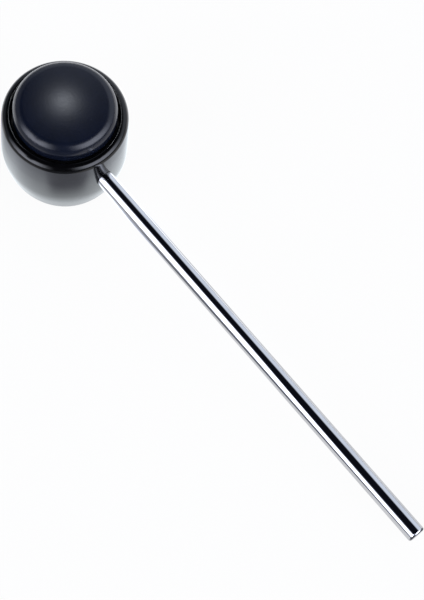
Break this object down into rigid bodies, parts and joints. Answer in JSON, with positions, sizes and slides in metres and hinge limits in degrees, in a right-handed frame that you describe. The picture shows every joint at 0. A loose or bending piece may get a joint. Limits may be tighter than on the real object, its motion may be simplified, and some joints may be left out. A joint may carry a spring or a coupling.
{
  "type": "bass drum beater",
  "caption": "Bass drum beater with a straight chromed shaft, a gloss black barrel head and a dark domed striking face that floats in its mouth on a rubber core.",
  "frame": {"origin": "centre of the head's flat back", "axes": "+Z is the strike axis, out of the striking face; the shaft runs from the head along -X to its free end"},
  "size_m": [0.2601, 0.0562, 0.0578],
  "materials": {
    "chromed_steel": "polished",
    "barrel_gloss_black": "gloss",
    "face_satin": "satin",
    "moulded_nylon": "matte",
    "plated_steel": "zinc plated",
    "core_rubber": "matte",
    "insert_brass": "machined"
  },
  "bodies": {
    "beater": {"beater_shaft": "chromed_steel", "barrel_shell": "barrel_gloss_black", "hub": "moulded_nylon", "shaft_grub_screw": "plated_steel", "core_base_plate": "plated_steel", "elastomer_core": "core_rubber"},
    "face": {"core_top_plate": "plated_steel", "face_carrier": "moulded_nylon", "carrier_insert": "insert_brass", "striking_face": "face_satin"}
  },
  "joints": [
    {"name": "face_press", "type": "slide", "parent": "beater", "child": "face", "axis": [0, 0, -1], "range_m": [0, 0.0015], "stiffness_N_per_m": 8000, "deforming": ["elastomer_core"]}
  ]
}
